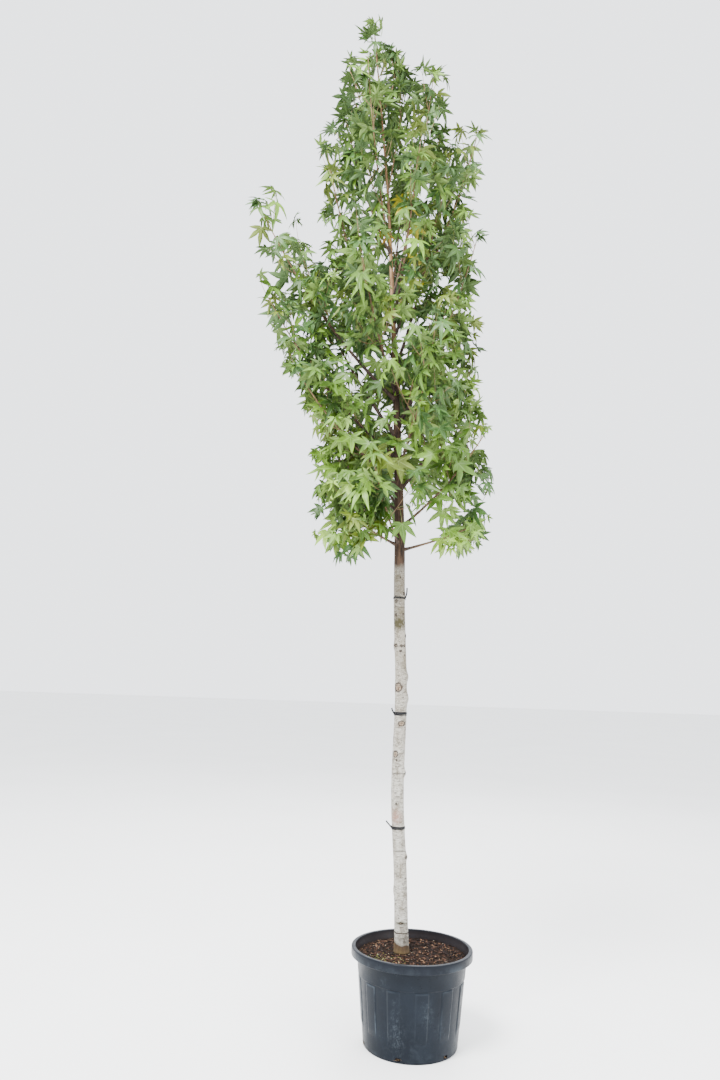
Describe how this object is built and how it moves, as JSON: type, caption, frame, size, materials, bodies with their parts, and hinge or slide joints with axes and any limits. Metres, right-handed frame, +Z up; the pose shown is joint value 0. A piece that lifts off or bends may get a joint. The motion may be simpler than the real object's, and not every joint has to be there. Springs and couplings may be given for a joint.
{
  "type": "potted sweetgum tree",
  "caption": "Young sweetgum tree with a clear pale trunk and a narrow upright leafy crown, standing in a round nursery pot filled with bark mulch.",
  "frame": {"origin": "centre of the pot's flat underside, on the ground", "axes": "+Z up along the trunk; -Y is the front, as pictured; +X is to the right seen from the front"},
  "size_m": [1.2747, 0.9338, 5.1137],
  "materials": {
    "pot": "dark slate blue-grey moulded plastic, slightly dusty, soft sheen",
    "soil": "damp brown bark mulch with tan and grey chips",
    "trunk": "bark under cream whitewash below the crown, bare brown bark above",
    "bough": "dark brown young bark",
    "tie": "black soft tree tie",
    "foliage": "star-shaped green leaves on light brown twigs"
  },
  "bodies": {
    "root": {"bough_back_1": "bough", "bough_back_2": "bough", "bough_back_3": "bough", "bough_back_4": "bough", "bough_centre_tall": "bough", "bough_front_1": "bough", "bough_front_2": "bough", "bough_front_3": "bough", "bough_front_4": "bough", "bough_front_5": "bough", "bough_left_inner": "bough", "bough_left_long": "bough", "bough_left_low": "bough", "bough_left_low_back": "bough", "bough_left_middle": "bough", "bough_left_outer": "bough", "bough_left_tall": "bough", "bough_right_inner": "bough", "bough_right_long": "bough", "bough_right_low": "bough", "bough_right_middle": "bough", "bough_right_rising": "bough", "bough_right_tall": "bough", "bough_top_left": "bough", "bough_top_right": "bough", "foliage_back_1": "foliage", "foliage_back_2": "foliage", "foliage_back_3": "foliage", "foliage_back_4": "foliage", "foliage_centre_tall": "foliage", "foliage_front_1": "foliage", "foliage_front_2": "foliage", "foliage_front_3": "foliage", "foliage_front_4": "foliage", "foliage_front_5": "foliage", "foliage_leader_left": "foliage", "foliage_leader_right": "foliage", "foliage_leader_top": "foliage", "foliage_left_inner": "foliage", "foliage_left_long": "foliage", "foliage_left_low": "foliage", "foliage_left_low_back": "foliage", "foliage_left_middle": "foliage", "foliage_left_outer": "foliage", "foliage_left_tall": "foliage", "foliage_right_inner": "foliage", "foliage_right_long": "foliage", "foliage_right_low": "foliage", "foliage_right_middle": "foliage", "foliage_right_rising": "foliage", "foliage_right_tall": "foliage", "foliage_top_left": "foliage", "foliage_top_right": "foliage", "pot": "pot", "soil": "soil", "tie_high": "tie", "tie_low": "tie", "tie_middle": "tie", "trunk": "trunk"}
  },
  "joints": []
}
